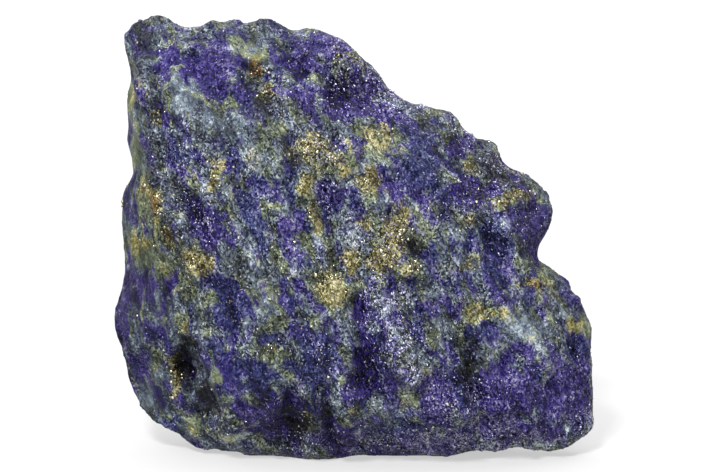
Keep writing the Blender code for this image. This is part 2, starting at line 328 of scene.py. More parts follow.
def writeAttribute(mesh, name, values):
    attribute = mesh.attributes.new(name, "FLOAT", "POINT")
    attribute.data.foreach_set("value", values.astype(np.float32))


def makeStone():
    stone = bpy.data.objects.new("lazuriteRock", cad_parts["lazurite_stone"].data.copy())
    bpy.context.scene.collection.objects.link(stone)
    stone.data.materials.clear()
    selectOnly(stone)
    bpy.ops.object.mode_set(mode="EDIT")
    bpy.ops.mesh.select_all(action="SELECT")
    bpy.ops.mesh.remove_doubles(threshold=stoneSet["merge"] * mm)
    bpy.ops.object.mode_set(mode="OBJECT")
    applyModifier(stone, "REMESH", mode="VOXEL", voxel_size=stoneSet["voxel"] * mm)
    applyModifier(stone, "SMOOTH", factor=0.5, iterations=stoneSet["softenSteps"])
    bpy.ops.object.shade_smooth()
    # The map comes while the surface is still smooth, so that it has few islands.
    bpy.ops.object.mode_set(mode="EDIT")
    bpy.ops.mesh.select_all(action="SELECT")
    bpy.ops.uv.smart_project(angle_limit=math.radians(stoneSet["mapAngle"]), island_margin=0.002)
    bpy.ops.object.mode_set(mode="OBJECT")
    stone.data.uv_layers[0].name = "OFBake"
    return stone


# Zones of the front, given one by one: u, v, half width, half height, strength and, if turned, degrees.

zones = dict(
    violet=[  # deep violet lazurite
        (-20.2, 55.5, 4.2, 3.8, 0.85), (-7.5, 57, 2.8, 2.4, 0.9), (-3, 58.5, 3.4, 2.2, 0.8, -20),
        (-0.8, 51.5, 4.6, 3.6, 1, -15), (4.5, 49.5, 3.2, 1.7, 0.7, -20), (-21.8, 33, 2.2, 3.6, 0.9, 10),
        (-9, 33, 1.6, 2, 1), (1.6, 12, 2.4, 5.2, 1, -8), (5.6, 11.4, 2.6, 2.4, 0.7),
        (-2, 1.6, 3, 2, 0.8, -20), (12, 6.8, 3, 3.8, 0.8, 20), (15.2, 44.4, 2, 1.6, 0.7),
        (17.4, 38, 3.6, 2.8, 0.7, -10), (26.2, 32.4, 2.2, 4.4, 1), (22.6, 9.4, 4.2, 4.2, 1),
        (30.5, 8.8, 4.2, 5, 0.9), (-33, 22, 2.6, 6, 0.8, -10), (-12, 6, 4.2, 3.6, 0.7),
        (-27.5, 57, 2, 2, 0.6), (-4, 37.6, 2.4, 2, 0.5), (1, 20.4, 1.5, 3.2, 0.8), (-29.6, 23, 3.2, 3, 0.2),
        (4.4, 17.8, 3, 3.6, 0.5, -30), (-5.6, 52, 2.6, 2.6, 0.6), (24, 2.6, 9, 1.8, 0.8),
        (10, 1.2, 7, 1.4, 0.7), (28.2, 12.2, 2.6, 2.2, 0.7), (4, 53, 2.4, 1.6, 0.7, -20),
        (-27.8, 54, 1.4, 1.8, 0.6), (24, 14.8, 1.8, 1.6, 0.6),
    ],
    blue=[  # deep cobalt blue lazurite
        (-25.5, 43.5, 2.2, 3.4, 0.8), (-14.4, 33.2, 1.8, 1.8, 0.8), (-18, 21, 2.4, 4.4, 0.9, 10),
        (-20.5, 15, 3, 2.6, 0.8), (-15.5, 10.8, 4.2, 2.6, 0.9, 15), (-11.8, 16.3, 1.4, 1.3, 0.8),
        (-5, 13.4, 2.8, 3.2, 0.9), (10.3, 19, 2.2, 2.8, 0.7), (9, 42, 2.8, 5.6, 0.7),
        (20.6, 29, 2.6, 4.6, 0.9), (16, 25, 2.6, 2.2, 0.6), (18, 17, 2.4, 1.8, 0.7),
        (31, 14.5, 2.8, 2.2, 0.5), (6, 2.2, 6.2, 2.6, 0.6), (-32.6, 38.5, 1.2, 4.6, 0.7),
        (12.6, 29.8, 2.2, 1.8, 0.8), (-14, 39, 1.6, 1.4, 0.5), (-8.6, 27.6, 1.8, 1.6, 0.5),
        (-17.2, 42, 1.4, 1.6, 0.4), (26.6, 21, 3.4, 2, 0.4, -30), (5.4, 6.2, 3.6, 2.2, 0.5),
        (11, 35.6, 2.6, 2.4, 0.2), (-10.4, 53.6, 2.2, 3.6, 0.2), (-20, 27, 2.2, 2, 0.4),
        (-10, 21.6, 1.8, 1.8, 0.6), (-12.8, 44.8, 1.4, 1.2, 0.6), (16, 7, 2.4, 2.4, 0.7),
        (17, 15, 2, 2, 0.6), (-11.2, 12.2, 2, 1.8, 0.6), (9.2, 24.8, 1.8, 1.4, 0.5),
        (-13, 30.2, 1.6, 1.8, 0.6), (-24.2, 5.2, 1.6, 1.2, 0.5),
    ],
    pale=[  # calcite and other pale mineral
        (-24.6, 51.4, 3.6, 1.7, 1, -50), (-21.6, 48.2, 1.6, 1, 1, -40), (-29.2, 57.6, 0.9, 0.9, 0.8),
        (-14.6, 58.8, 2.2, 1.2, 0.4), (-15.6, 44.3, 1.9, 1.3, 0.7), (-10.6, 46.8, 1.4, 1.1, 0.6),
        (-23.4, 44.6, 1.2, 0.9, 0.5), (-11.4, 35.8, 1.4, 0.8, 0.8), (-12.6, 41.8, 2, 1.6, 0.4),
        (-5.4, 31.6, 0.9, 2.8, 0.8, 15), (1.6, 42.6, 0.9, 1.4, 0.9), (3.6, 36.6, 1.6, 1, 0.6),
        (-0.6, 30.4, 1, 2.2, 0.6, -10), (12.6, 29.8, 1.9, 1.5, 0.5), (24.4, 26.9, 1.2, 0.8, 0.7),
        (4.8, 20.8, 1.2, 1.8, 0.7), (3.2, 18.4, 1, 1.2, 0.8), (7.8, 13.4, 1.4, 1.8, 0.6),
        (25.2, 17.6, 4, 2.8, 0.6, -15), (27.8, 14, 1.4, 2.6, 0.3), (30.4, 20.3, 1.2, 1, 0.6),
        (33.4, 17.4, 1, 1.6, 0.7), (-23.4, 3.6, 1.4, 1, 0.4), (-17.8, 1.8, 2.4, 1, 0.8),
        (-14, 25.5, 2.2, 2.2, 0.15), (-13.6, 20.2, 1.2, 1.2, 0.5), (-16.6, 18.4, 1.6, 1.6, 0.4),
        (19.8, 6.6, 1, 0.8, 0.6), (-9, 26, 1.8, 2.2, 0.4), (9.6, 13.6, 1.8, 1.8, 0.4),
        (-32.4, 51.8, 1, 2.6, 0.6), (-31.6, 30.4, 1.8, 1.2, 0.5), (15.6, 31.6, 1.2, 1, 0.5),
        (-4.6, 20, 2, 1.2, 0.4), (-17.4, 47, 2.4, 2, 0.3, -40), (21.8, 33.2, 1.2, 1.8, 0.8, -30),
    ],
    sage=[  # grey-green diopside and mica
        (-32.6, 51.5, 1, 2.4, 1), (-31.6, 45, 0.9, 5, 0.8), (-32.8, 40, 0.9, 2.6, 0.9),
        (-29.8, 36, 0.9, 5, 0.7, 10), (-33, 31, 1.2, 1.6, 1), (-30.6, 29.4, 1.4, 2.4, 1, 10),
        (-28, 27, 1.2, 3, 0.8, 30), (-16.2, 58.8, 1.8, 1.4, 0.7), (-27, 53, 1, 2, 0.7, 20),
        (-12.6, 58, 1.4, 1.4, 0.5), (-2.6, 56.6, 0.8, 1.2, 0.7), (0, 58, 1.4, 0.7, 0.9, 30),
        (11.4, 49.4, 1.8, 0.9, 0.8, 25), (13.4, 45.8, 0.8, 1.2, 0.7), (16.6, 42.2, 2, 0.9, 0.6, -20),
        (-13, 47.4, 1, 0.9, 0.5), (-10.6, 46.6, 1.6, 1.1, 0.5), (-15, 43.6, 1.6, 1.3, 0.5),
        (-17.6, 50, 0.6, 2, 0.6), (-7.2, 38.2, 1, 1.8, 0.9), (-5.8, 34, 0.9, 3.4, 0.9, 10),
        (-6.6, 30, 1.2, 2.2, 0.7), (-11.6, 36, 1.3, 0.8, 0.9), (2.2, 37.6, 1.4, 1.8, 0.8),
        (-0.6, 42.8, 1.2, 1.8, 0.6), (1.6, 46.6, 2.8, 1, 0.5), (-3.4, 22.8, 2.6, 1.8, 1),
        (-24.6, 29, 1.8, 2.6, 0.4, -20), (-20.6, 21.6, 1.4, 2.2, 0.7), (-14.4, 24, 1.8, 2.8, 0.35),
        (-9.6, 22, 1.4, 2.2, 0.2), (-12, 18.6, 1.6, 1.2, 0.5), (-8.6, 11.2, 1.8, 1.2, 0.6),
        (-19, 11.2, 1.3, 0.6, 0.8, -20), (-17.8, 8, 1.8, 0.7, 0.7), (-23.4, 3.6, 1.4, 1.2, 0.7),
        (-17.4, 1.8, 1.6, 0.7, 1), (-6.2, 4.6, 0.8, 1.8, 0.8), (7.2, 6.8, 0.8, 1.5, 1),
        (18, 20, 3, 1.5, 0.6, -8), (22.4, 19.4, 1.4, 1.6, 0.6), (26.6, 20.4, 1.2, 1.8, 0.5),
        (28.2, 25.6, 1.8, 1, 0.9, -40), (33.4, 17.4, 1, 1.3, 1), (10.4, 30.4, 1, 1.4, 0.5),
        (17.4, 27.4, 1.6, 1.2, 0.6), (-28.8, 13, 0.7, 1.2, 0.8), (0.6, 6, 1, 1.2, 0.6),
        (11, 17, 1.6, 2, 0.5), (-1.8, 10.2, 1.6, 1.2, 0.4), (-18.6, 15, 1.2, 1, 0.4),
        (-24.2, 24.4, 1.8, 2, 0.8), (22, 35.2, 1.6, 1.6, 0.6), (4.6, 44.4, 2.4, 1.8, 0.8),
        (0, 23.8, 1.8, 1.6, 0.7), (3, 31.2, 1.4, 1.6, 0.6), (-5.6, 39.8, 1.2, 1.6, 0.6),
        (-20.2, 39.2, 1.6, 2, 0.5), (-18, 53, 1.4, 1.2, 0.3), (-28, 19.2, 1.8, 2.2, 0.5),
        (10.2, 35, 1.8, 1.8, 0.5), (7, 43, 1.6, 1.6, 0.6), (-24, 40, 1.4, 1.8, 0.5), (6, 26, 1.6, 1.4, 0.5),
        (2.2, 33.2, 1.4, 1.6, 0.5),
    ],
    gold=[  # clusters of pyrite and the stain around them
        (-4.9, 43.6, 3.2, 2.2, 1, -35), (3.4, 45.6, 2.8, 1.4, 0.7), (2.4, 39.2, 1.6, 1.8, 0.7, -20),
        (-7.2, 39, 1.4, 1.6, 0.6), (-6, 34.6, 0.8, 2.8, 0.5, 8), (6.2, 31.6, 2, 3.2, 1, -10),
        (4, 28.4, 2, 1.8, 0.9), (8.2, 27, 1.6, 1.6, 0.7), (-3.2, 24.2, 2.8, 2.4, 1), (1.6, 33.2, 1, 1, 0.6),
        (-0.2, 27.4, 1.6, 1.4, 0.5), (17.4, 33.5, 1.4, 1.1, 0.7), (21.4, 36, 1.8, 0.8, 0.7, 12),
        (24.4, 37, 1.8, 0.8, 0.7, 8), (15.8, 27.6, 1.2, 1.2, 0.5), (26.3, 24.6, 1.4, 1, 0.6),
        (18.6, 20.4, 2.6, 0.9, 0.45, -20), (16, 18.4, 1.6, 0.9, 0.3), (-20.2, 40.4, 1.2, 2.2, 0.5),
        (-29, 36.6, 1.3, 3.6, 0.8, 12), (-27, 31.4, 1.4, 1.8, 0.8, 30), (-22.8, 27.4, 2.6, 1.6, 0.7, -35),
        (-30.6, 30.2, 1.8, 0.9, 0.6), (-29.2, 48.6, 0.8, 1, 0.7), (-14.4, 55.9, 1.5, 1.7, 0.7),
        (-12.6, 52.4, 1.1, 1.5, 0.7, 20), (-1.4, 57.2, 2, 0.9, 0.5, -30), (-26, 10.8, 0.9, 3, 0.7),
        (-24.6, 18, 1, 1.8, 0.4), (-12.2, 15.4, 1.3, 1.1, 0.4), (16.9, 41.8, 1.3, 0.9, 0.5),
        (-7, 4.8, 1, 1.8, 0.4), (6.6, 6.8, 1, 1.2, 0.4), (0.4, 6.4, 0.9, 0.9, 0.4),
        (-33, 52.4, 1.2, 2.4, 0.3), (32.6, 19, 1, 1, 0.2), (-9.6, 43, 1.2, 1.8, 0.3),
    ],
    # Dark rock: partly dark mineral and partly painted shade in the pits and grooves of the front.
    darkAndShade=[
        (-30.4, 60.4, 2, 2.4, 0.7), (-29.2, 49.6, 1.4, 2.6, 0.8), (-13.4, 50.6, 2.2, 2, 0.6, -30),
        (-14.8, 54, 1.6, 2.8, 0.4, 20), (-9.2, 42.6, 0.9, 2, 0.5), (-24.6, 12.6, 1.7, 3.2, 0.8),
        (-21.6, 7.6, 1.9, 2, 0.9, -30), (-9.2, 4.2, 4, 3.4, 0.8), (-13.4, 8.2, 2, 1.8, 0.6),
        (-4.6, 6.2, 1.2, 2.4, 0.7), (-2.8, 1.6, 2.4, 1.6, 0.5), (16.6, 12, 1.6, 4, 0.7, -10),
        (8.4, 22.4, 1.8, 1.8, 0.5), (9.2, 29.8, 1.1, 1.7, 0.8), (-13.4, 61.2, 2.2, 1.4, 0.4),
        (4.5, 34.2, 0.9, 1.2, 0.6), (22.8, 38.8, 2.8, 2, 0.9, -25), (25.6, 35.8, 1.4, 2.2, 0.5),
        (17.4, 37.6, 2.6, 2.2, 0.7), (15, 44.6, 1.6, 1.4, 0.4), (-1.4, 52.8, 2.4, 2, 0.6),
        (-7.6, 57, 2.2, 1.8, 0.4), (-22.4, 33.6, 1.8, 3, 0.5), (-26, 39.6, 1.2, 2.4, 0.4),
        (-18, 20.8, 1.6, 3.2, 0.4), (-4.8, 13.4, 1.8, 2.2, 0.4), (1.8, 12.4, 1.4, 4, 0.6, -8),
        (10.4, 19, 1.6, 2.2, 0.4), (-26.8, 24.4, 1.8, 2.4, 0.4, 30), (-32.4, 21.6, 2.4, 4.8, 0.3),
        (21, 29.4, 1.4, 3, 0.3), (2.4, 9, 3, 1.2, 0.3), (-9.4, 18.8, 1.8, 2.4, 0.5),
        (-22.6, 6.2, 2, 1.4, 0.5), (-28.8, 45.4, 1.4, 3, 0.5), (-27.8, 41, 1.4, 2.2, 0.4),
        (-30, 54.4, 1.2, 1.8, 0.4), (-7, 48.2, 1.8, 1.6, 0.5), (18, 43.4, 1.6, 1.2, 0.5),
        (-15.6, 23.6, 2, 2, 0.5), (-24.6, 31.2, 1.8, 2.8, 0.6), (21, 41, 2.4, 1.6, 0.8, -30),
        (-11.2, 50.2, 1.8, 1.8, 0.6), (12.4, 34.4, 2.6, 1.8, 0.7), (6.6, 13.4, 1, 2, 0.5),
        (-31.8, 19.6, 1.6, 2.4, 0.4), (8.8, 36, 1.6, 1.6, 0.4), (-17, 30, 1.6, 1.8, 0.4),
    ],
    rust=[
        (-14.4, 55.8, 0.9, 1.4, 0.9), (-12.5, 52.6, 0.7, 1, 0.7), (-29.2, 36.4, 0.7, 2.2, 0.7, 10),
        (-26.9, 31.2, 0.8, 1.2, 0.8, 20), (-25, 28.8, 0.8, 0.8, 0.6), (26.2, 24.6, 1, 0.8, 1),
        (28.8, 22.6, 0.6, 0.5, 0.7), (0.4, 57.2, 0.6, 0.6, 0.6), (-4.2, 43, 0.9, 0.8, 0.5),
        (17.4, 33.4, 0.9, 0.7, 0.6), (-26, 10, 0.6, 1.6, 0.5), (-15.6, 44.6, 0.5, 0.5, 0.5),
    ],
    glint=[  # where many small faces catch the light; there the rock's bright specks and the slivers' light tones are painted glints
        (5.4, 21.4, 2.2, 3.4, 1, -30), (7, 15.8, 2.4, 3.6, 1, -25), (2.4, 18.6, 1.2, 1.8, 0.8),
        (-24, 38, 4, 9, 0.4), (0, 55, 6.5, 6, 0.4), (17, 6, 6.5, 5, 0.4), (-3.6, 43.6, 3.6, 2.6, 0.5),
        (5, 30.4, 3, 4, 0.5), (26, 17, 4.5, 3.5, 0.3), (21.4, 2.6, 5, 1.2, 0.7), (14, 8, 2.4, 3.4, 0.4),
        (-22, 33.6, 2, 3, 0.4), (8, 1.4, 9, 1.6, 0.7), (-6, 1.6, 6, 1.6, 0.5), (19, 38, 5, 4, 0.35),
        (22, 32, 2.4, 3, 0.5), (-4, 37, 2, 3.2, 0.8), (8.4, 12.4, 1.8, 2.6, 1), (16, 1.4, 4, 1.2, 0.9),
        (4.6, 51.8, 3.4, 2.2, 0.9, -20), (2.4, 22.2, 1.8, 1.6, 0.9), (25.2, 34, 2.2, 3.2, 0.5),
        (2.2, 13, 1.8, 2.8, 0.5), (18, 34.4, 2.2, 1.8, 0.6), (21, 41, 3, 1.8, 0.4, -30),
        (2, 55, 2.6, 1.8, 0.7), (0.8, 31, 1.6, 2.2, 0.7), (15.8, 45.8, 2.6, 1.8, 0.4, -25),
        (8.8, 49.6, 2.8, 1.6, 0.45, -20), (-5, 29.2, 1.6, 1.8, 0.6), (4, 25, 2.2, 1.8, 0.6),
        (33.6, 3.6, 1.6, 2.4, 0.8), (24, 1.4, 6, 1.2, 0.8), (-5, 14, 2.2, 2.6, 0.6),
    ],
    smooth=[  # the left flank and the rim, worn and less grainy
        (-33, 42, 3, 14, 1), (-32.4, 24, 4.6, 9, 1), (-30.8, 60, 2.6, 3, 0.6), (26, 33, 3, 4.4, 0.5),
        (-29, 10, 3, 5, 0.6, 20),
    ],
    brightAndLit=[  # lighter rock of any kind, and painted light along the downward-facing bottom edge and on glinting streaks
        (30, 5.4, 3.4, 2.4, 0.8), (26.4, 12.6, 3, 3, 0.8), (22.6, 15, 2, 1.6, 0.6),
        (21.6, 17.8, 2.4, 1.6, 0.6), (-22.6, 42, 1.8, 2.4, 0.8, 20), (-15, 36, 2, 2.2, 0.5),
        (-4.4, 36.4, 1.4, 2.2, 0.7, 10), (-8.8, 38.6, 1.4, 2, 0.9), (-5, 29, 1.6, 2, 0.7),
        (-1.4, 23.6, 4, 1.8, 0.7), (6.6, 5.2, 2.4, 2, 0.6), (4, 45.2, 2.6, 1.8, 0.8),
        (-16.8, 1.6, 3, 1.4, 0.8), (22, 33.2, 1.6, 2.2, 0.8, -30), (21, 3.4, 9, 1.8, 0.6),
        (12, 1.2, 6, 1.2, 0.8), (24, 1.4, 7, 1.4, 0.8), (3.2, 18.6, 2, 3, 0.8, -20),
        (18.6, 33, 1.8, 1.6, 0.9), (-27, 5, 2, 2, 0.7), (-14, 31, 1.8, 2.2, 0.6), (-8, 23, 2, 2, 0.6),
        (-13, 27.2, 1.8, 1.8, 0.5), (-31.6, 48, 1.2, 3.4, 0.6), (-24, 16.2, 1.6, 1.8, 0.6),
    ],
    calm=[  # where the rock is milky and its grain hardly shows
        (-30, 7, 3.4, 3.4, 0.9), (-19, 48, 3.4, 2.6, 0.8, -30), (-14.4, 57.4, 2.8, 2.2, 0.9),
        (-19, 11.2, 2.8, 2.4, 0.9), (-28.4, 36, 2, 3.4, 0.6), (-26, 32, 1.6, 1.8, 0.5),
        (-23, 9, 1.8, 2.4, 0.8), (-23.6, 54, 2.8, 2.4, 0.6), (-24, 4.2, 2.8, 2.2, 0.8),
        (24, 18, 3.8, 3, 0.7), (-25, 50, 2.4, 2.2, 0.6), (-12.2, 41, 2.2, 2.2, 0.5),
        (-13, 22, 2.8, 2.8, 0.6), (-16.4, 60.2, 3, 1.6, 0.7), (-27, 22.6, 2.2, 2.8, 0.6),
        (-15.8, 8.8, 2.2, 2, 0.6), (32.8, 19, 2, 2.4, 0.7), (-32, 53, 1.6, 2.8, 0.7),
        (-26, 57.2, 2.2, 2, 0.6), (-12, 12, 2.6, 2.2, 0.5), (-1, 41, 1.6, 1.6, 0.5),
        (-27, 18.6, 2.2, 2.2, 0.6),
    ],
)
zoneSet = dict(
    wander=0.65,  # how far the borders of zones stray
    wanderSize=2.4,
    uSeed=1,
    vSeed=2,
    foldSeed=3,
    facing=(-0.15, 0.15),  # the lists fade out as the surface turns away from the front
    hiddenSize=dict(  # the zones that the front view doesn't reach
        violet=5.5, blue=5.0, pale=4.5, sage=4.0, gold=4.5, darkAndShade=4.5, rust=3.0, glint=6.0,
        smooth=14.0, brightAndLit=5.0, calm=6.0,
    ),
    hiddenFloor=dict(  # from this noise value up; they cover as much as on the front
        violet=0.1, blue=0.28, pale=0.36, sage=0.26, gold=0.36, darkAndShade=0.3, rust=0.6, glint=0.2,
        smooth=0.3, brightAndLit=0.34, calm=0.36,
    ),
    hiddenBorder=0.3,
    hiddenStrength=0.8,
    hiddenStretch=1.7,
    hiddenSeed=10,
    hiddenDetail=4,
)


def zoneValue(spots, u, v):
    total = np.zeros(len(u))
    for spotU, spotV, halfWidth, halfHeight, strength, *turn in spots:
        angle = math.radians(turn[0] if turn else 0)
        across = ((u - spotU) * math.cos(angle) + (v - spotV) * math.sin(angle)) / halfWidth
        up = ((v - spotV) * math.cos(angle) - (u - spotU) * math.sin(angle)) / halfHeight
        total = np.maximum(total, strength * np.exp(-(across**2 + up**2) ** 1.5))
    return total


def stretched(points, width, length):  # places drawn out along the banding
    along = np.array(Vector(stoneSet["banding"]).normalized())
    return points / width + np.outer(points @ along, along) * (1 / length - 1 / width)


def strayOfZones(points, seed):
    return cloud(points, zoneSet["wanderSize"], seed) * zoneSet["wander"]


def writeZones(stone, points, normals):
    # The front follows the lists. What the front view doesn't reach gets zones from 3D noise.
    facing = eased(normals @ np.array(cameraBack()), *zoneSet["facing"])
    u, v = seenFromFront(points)
    u = u + strayOfZones(points, zoneSet["uSeed"])
    v = v + strayOfZones(points, zoneSet["vSeed"])
    values = {}
    for seed, (name, spots) in enumerate(zones.items(), zoneSet["hiddenSeed"]):
        size = zoneSet["hiddenSize"][name]
        drawn = stretched(points, size, size * zoneSet["hiddenStretch"])
        low = zoneSet["hiddenFloor"][name]
        hidden = cloud(drawn, 1, seed, zoneSet["hiddenDetail"])
        hidden = eased(hidden, low, low + zoneSet["hiddenBorder"]) * zoneSet["hiddenStrength"]
        values[name] = zoneValue(spots, u, v) * facing + hidden * (1 - facing)
        writeAttribute(stone.data, name, values[name])
    return values


def furrowHeight(points, width, length, height, seed):
    # Round crests between sharp valleys, about as far above the surface as below it.
    rise = np.abs(cloud(stretched(points, width, length), 1, seed)) * stoneSet["furrowCrest"]
    return (rise - stoneSet["furrowValley"]) * height


def foldHeight(u, v):  # the ridges and hollows that the front shows
    total = np.zeros(len(u))
    for startU, startV, endU, endV, width, height in stoneSet["folds"]:
        alongU, alongV = endU - startU, endV - startV
        share = ((u - startU) * alongU + (v - startV) * alongV) / (alongU**2 + alongV**2)
        share = np.clip(share, 0, 1)
        gap = np.hypot(u - startU - share * alongU, v - startV - share * alongV)
        total += height * np.exp(-((gap / width) ** 2))
    return total


def breakStone(stone, points, normals, smooth, calm):
    facing = normals @ np.array(cameraBack())
    bent = points.copy()
    for axis, seed in zip((0, 2), stoneSet["bendSeeds"]):
        bent[:, axis] += cloud(points, stoneSet["bendSize"], seed) * stoneSet["bend"]
    u, v = seenFromFront(points)
    wander = strayOfZones(points, zoneSet["foldSeed"])
    large = foldHeight(u + wander, v - wander) * eased(facing, *stoneSet["foldFacing"])
    for furrow in stoneSet["furrows"]:
        large += furrowHeight(bent, **furrow)
    small = np.zeros(len(points))
    for chip in stoneSet["chips"]:
        small += chipHeight(points, **chip)
    small = small * (1 - stoneSet["wornChips"] * smooth) * (1 - stoneSet["calmChips"] * calm)
    height = large * (1 - stoneSet["wornRelief"] * smooth) + small
    rim = stoneSet["rimRelief"]
    height *= rim + (1 - rim) * eased(np.abs(facing), *stoneSet["rimFacing"])
    height *= eased(points[:, 2], stoneSet["footBottom"], stoneSet["footTop"])
    moved = points + normals * height[:, None]
    foot = points[:, 2] < stoneSet["footLevel"]
    moved[:, 2] = np.where(foot, 0.0, np.maximum(moved[:, 2], 0.0))
    stone.data.vertices.foreach_set("co", (moved * mm).astype(np.float32).ravel())
    stone.data.update()
    # Painted shade: this darkens the rock's colour in the hollows of the large relief.
    writeAttribute(stone.data, "hollow", eased(-large, *stoneSet["hollowDepth"]))


stone = makeStone()
stoneZones = writeZones(stone, *pointsAndNormals(stone.data))
breakStone(stone, *pointsAndNormals(stone.data), stoneZones["smooth"], stoneZones["calm"])
print("stone:", len(stone.data.vertices), "points")


# Lapis lazuli, freshly broken: a fine-grained, sugary rock in which each grain has its own colour
# and its own way of catching the light. Each texture gives three fields, one for each channel of
# its colour, and each zone is a field too. Each row of rockSums makes one more: its start plus other
# fields times their weights, all times one field, or made a share from 0 to 1 across a border.

rockSet = dict(
    grain=0.5,  # across a grain
    speck=0.21,
    patch=2.1,  # across a patch of one mineral
    blotch=4.2,
    streak=1.1,  # across a streak of the worn flank
    patchStretch=0.5,  # drawn out along the banding by this
    grainStretch=0.72,
    streakStretch=0.12,
    patchStray=dict(size=3.0, detail=3.0, far=2.6),  # how the borders stray
    grainStray=dict(size=1 / 1.1, detail=2.0, far=0.5),
    patchDetail={"Detail": 2.0, "Roughness": 0.55},
    streakDetail={"Detail": 2.0},
    goldHaloPower=0.6,  # below 1 the stain reaches further out than the pyrite
    sageLight=0.75,  # how much of a light mineral the grey-green one is
    colors=dict(  # each mineral's, from its darkest grains to its lightest
        violet=["#020013", "#080330", "#1b114e", "#352c66", "#5b557d", "#9a99b1"],
        cobalt=["#010114", "#05062b", "#171a45", "#31385f", "#586179", "#979fb2"],
        slate=["#03030c", "#0c0d1b", "#212530", "#414a54", "#68727c", "#a4adb0"],
        sage=["#040408", "#101213", "#282c25", "#4b523f", "#717961", "#a2a88f"],
        worn=["#07060f", "#141024", "#2b2642", "#4b4860", "#6f6e7c", "#a2a4a6"],
        stained=["#050403", "#16130a", "#322c13", "#564f28", "#7d774a", "#b1ad8a"],
        rusty=["#070402", "#150e05", "#2f200c", "#4e3717", "#745b2f", "#a59061"],
    ),
    sugar="#b9b7d4",  # the brightest of the smallest grains: partly pale grains, partly painted glints
    layers=[  # name, what lies below, what lies above, how much of that shows
        ("stone", "slate", "sage", "greenish"),
        ("rock", "cobalt", "violet", "purple"),
        ("rock", "rock", "worn", "wornShare"),
        ("rock", "rock", "stone", "stony"),
        ("rock", "rock", "stained", "stainedShare"),
        ("rock", "rock", "rusty", "rusting"),
        ("rock", "rock", "sugar", "sugarAndGlintShare"),
    ],
    speckTurn=0.7,  # how much of a grain's turn its specks have of their own
    turn=0.85,  # how far grains are turned
    relief=0.2,  # height of the grain
    gloss=(0.35, 0.95),  # from the dullest to the glossiest grains, with this roughness
    roughness=(0.68, 0.18),
    specular=0.18,
    refraction=1.5,
)
rockSums = dict(
    # Grain shows least on worn and milky places, and most where many faces glint.
    crisp=dict(start=1.05, smooth=-0.65, light=-0.35, glint=0.4, gold=0.25, calm=-0.55),
    streaked=dict(start=-0.5, streakRed=1.0, times="smooth"),
    greenStreak=dict(start=-0.5, streakGreen=1.0, times="smooth"),
    # The dark zones, partly dark mineral and partly painted shade, are made uneven by a mottle.
    darkMottle=dict(patchGreen=1.0, border=(0.36, 0.64)),
    unevenDark=dict(start=0.6, darkMottle=0.7, times="darkAndShade"),
    # Which mineral it is: grey stone or blue, green or grey, violet or cobalt, stained, rusty, worn.
    stony=dict(
        start=-0.92, patchGreen=2.1, blotchGreen=0.9, grainGreen=0.06, lazurite=-0.66, light=0.5,
        gold=0.2, streaked=1.8, border=(0.31, 0.69),
    ),
    greenish=dict(
        start=-0.54, patchBlue=1.8, grainBlue=0.08, sage=0.5, gold=0.4, pale=-0.15,
        greenStreak=1.4, border=(0.34, 0.66),
    ),
    purple=dict(
        start=-0.3, violet=0.4, blue=-0.35, blotchRed=1.2, patchRed=0.6, border=(0.3, 0.7),
    ),
    stainedShare=dict(
        start=-0.96, blotchBlue=1.0, patchRed=1.2, grainBlue=0.12, goldHalo=0.52, lazurite=-0.25,
        sage=0.14, border=(0.36, 0.66),
    ),
    rusting=dict(start=-0.575, grainGreen=0.15, patchRed=0.8, rust=1.0, border=(0.46, 0.56)),
    wornShare=dict(smooth=0.6),
    # How light each grain of it is, with painted shade in the hollows and the dark zones, and painted light
    # in the bright zones.
    tone=dict(start=-0.41, grainRed=0.22, speckRed=0.6, times="crisp"),
    lightness=dict(
        start=-0.135, blotchRed=0.45, clot=0.65, tone=1.0, stony=0.14, pale=0.18, sage=0.05,
        lazurite=0.02, unevenDark=-0.39, hollow=-0.14, gold=0.03, streaked=0.5, brightAndLit=0.24,
        calm=-0.06,
    ),
    # Sugar: the smallest grains, some of them bright. The bright ones are partly pale grains and partly
    # painted glints, more where the rock glints and fewer in hollows.
    sugarAndGlintMask=dict(
        start=-0.15, speckGreen=1.0, glint=0.14, clot=0.3, hollow=-0.1, smooth=-0.14, light=-0.05,
        calm=-0.12, border=(0.88, 1.08),
    ),
    sugarAndGlintShare=dict(sugarAndGlintMask=0.6),
    # Relief and gloss: the middle of each grain stands a little proud.
    height=dict(fromMiddle=-0.6, speckGreen=0.3, clot=1.5),
    glossy=dict(speckBlue=1.0, glint=0.3, smooth=-0.1),
)


def addSum(tree, fields, start=0.0, times=None, border=None, **weights):
    total = start
    for name, weight in weights.items():
        numbers = {0: fields[name], 1: weight, 2: total}
        total = addNode(tree, "Math", numbers, operation="MULTIPLY_ADD")[0]
    if times:
        total = addNode(tree, "Math", {0: total, 1: fields[times]}, operation="MULTIPLY")[0]
    if border:  # 0 below it, 1 above it, soft between
        numbers = {0: total, 1: border[0], 2: border[1]}
        total = addNode(tree, "MapRange", numbers, interpolation_type="SMOOTHSTEP")[0]
    return total


def drawnOut(tree, place, stretch):  # the shader's places, drawn out along the banding
    along = Vector(stoneSet["banding"]).normalized()
    share = addNode(tree, "VectorMath", {0: place, 1: along}, operation="DOT_PRODUCT")["Value"]
    change = addNode(tree, "Math", {0: share, 1: stretch - 1}, operation="MULTIPLY")[0]
    return addNode(tree, "VectorMath", {0: change, 1: along, 2: place}, operation="MULTIPLY_ADD")[0]


def strayed(tree, place, drawn, size, detail, far):  # drawn places, each moved by a noise
    stray = addNode(tree, "TexNoise", {"Vector": place, "Scale": 1 / size, "Detail": detail})["Color"]
    return addNode(tree, "VectorMath", {0: stray, 1: (far,) * 3, 2: drawn}, operation="MULTIPLY_ADD")[0]


